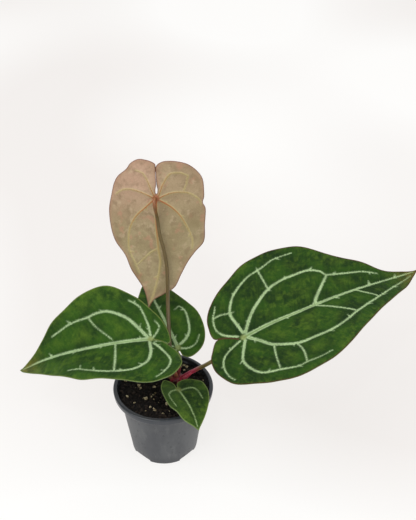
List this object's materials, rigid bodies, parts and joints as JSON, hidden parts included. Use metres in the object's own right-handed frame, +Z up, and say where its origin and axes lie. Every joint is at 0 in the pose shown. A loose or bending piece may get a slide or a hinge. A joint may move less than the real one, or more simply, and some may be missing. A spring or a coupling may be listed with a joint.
{
  "type": "potted houseplant",
  "caption": "Young velvet-leaved aroid with heart-shaped, pale-veined leaves on round stalks, standing in soil in a tapered round nursery pot.",
  "frame": {"origin": "centre of the pot's underside", "axes": "+Z up, +X to the plant's widest leaf on the right, -Y towards the side with the small low leaf"},
  "size_m": [0.394, 0.1835, 0.274],
  "materials": {
    "pot_grey": "matt injection-moulded grey plastic, faint water marks",
    "potting_mix": "dark moist bark and peat with pale pumice grains",
    "bud_sheath": "smooth crimson bud sheaths",
    "stalk_olive": "smooth olive stalk, pink at the foot",
    "stalk_green": "smooth green stalk",
    "stalk_brown": "smooth brown-tan stalk",
    "leaf_velvet": "velvety dark green with pale green-white veins",
    "leaf_bronze": "satin pinkish bronze underside of a new leaf, raised tan veins"
  },
  "bodies": {
    "root": {"pot": "pot_grey", "soil": "potting_mix", "crown": "bud_sheath", "stalk_right": "stalk_olive", "stalk_left": "stalk_green", "stalk_new_upright": "stalk_brown", "stalk_back": "stalk_green", "stalk_front_small": "stalk_green", "leaf_right": "leaf_velvet", "leaf_left": "leaf_velvet", "leaf_new_upright": "leaf_bronze", "leaf_back": "leaf_velvet", "leaf_front_small": "leaf_velvet"}
  },
  "joints": []
}
